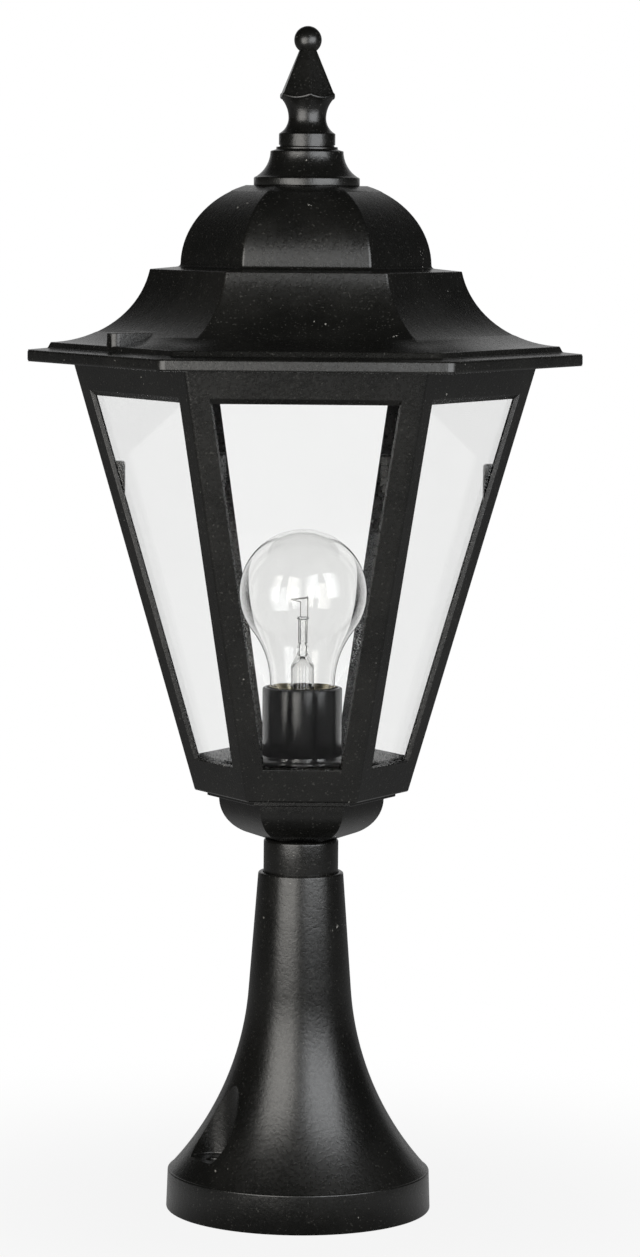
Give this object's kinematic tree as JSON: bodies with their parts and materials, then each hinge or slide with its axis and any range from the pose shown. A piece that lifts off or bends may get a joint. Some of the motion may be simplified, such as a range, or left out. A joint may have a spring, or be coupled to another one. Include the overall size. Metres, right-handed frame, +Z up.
{
  "type": "garden pedestal lamp",
  "caption": "Outdoor pedestal lantern: a six-sided glazed cage tapering down to a bowl and collar on a trumpet foot, under an ogee roof with a spire finial, lit by a clear screw bulb.",
  "frame": {"origin": "centre of the round foot's underside, on the lamp's vertical axis", "axes": "+Z up along the lamp's axis to the finial; -Y out of the front pane; +X to the right seen from the front"},
  "size_m": [0.2608, 0.2272, 0.5594],
  "materials": {
    "powder_coat": "black textured powder coat on cast aluminium",
    "pane_glass": "clear flat glass",
    "zinc_steel": "bright zinc plate",
    "holder_plastic": "smooth black heat-resistant plastic",
    "holder_ceramic": "white ceramic",
    "contact_brass": "bare brass",
    "block_plastic": "natural nylon",
    "wire_brown": "brown insulation",
    "wire_blue": "blue insulation",
    "wire_green": "green and yellow insulation",
    "bulb_clear_glass": "clear blown glass",
    "cap_metal": "bright rolled cap",
    "cap_insulator": "black glass button",
    "filament_wire": "drawn wire"
  },
  "bodies": {
    "lamp": {"pedestal": "powder_coat", "neck_collar": "powder_coat", "lower_bowl": "powder_coat", "lantern_cage": "powder_coat", "roof": "powder_coat", "finial": "powder_coat", "pane_front": "pane_glass", "pane_front_right": "pane_glass", "pane_rear_right": "pane_glass", "pane_rear": "pane_glass", "pane_rear_left": "pane_glass", "pane_front_left": "pane_glass", "roof_screws": "zinc_steel", "finial_washer": "zinc_steel", "finial_bolt": "zinc_steel", "threaded_rod": "zinc_steel", "rod_top_nut": "zinc_steel", "rod_bottom_washer": "zinc_steel", "rod_bottom_nut": "zinc_steel", "terminal_bracket": "zinc_steel", "terminal_screws": "zinc_steel", "block_screw": "zinc_steel", "earth_screw": "zinc_steel", "holder_base": "holder_plastic", "holder_skirt": "holder_plastic", "holder_insert": "holder_ceramic", "holder_thread_shell": "contact_brass", "centre_contact": "contact_brass", "terminal_block": "block_plastic", "live_wire": "wire_brown", "neutral_wire": "wire_blue", "earth_wire": "wire_green"},
    "bulb": {"bulb_glass": "bulb_clear_glass", "bulb_cap": "cap_metal", "bulb_insulator": "cap_insulator", "bulb_contact": "cap_metal", "bulb_stem": "bulb_clear_glass", "bulb_lead_wires": "filament_wire", "bulb_filament": "filament_wire"}
  },
  "joints": [
    {"name": "bulb_turn", "type": "hinge", "parent": "lamp", "child": "bulb", "pos_m": [0, 0, 0.2344], "axis": [0, 0, 1], "range_deg": [0, 720]}
  ]
}
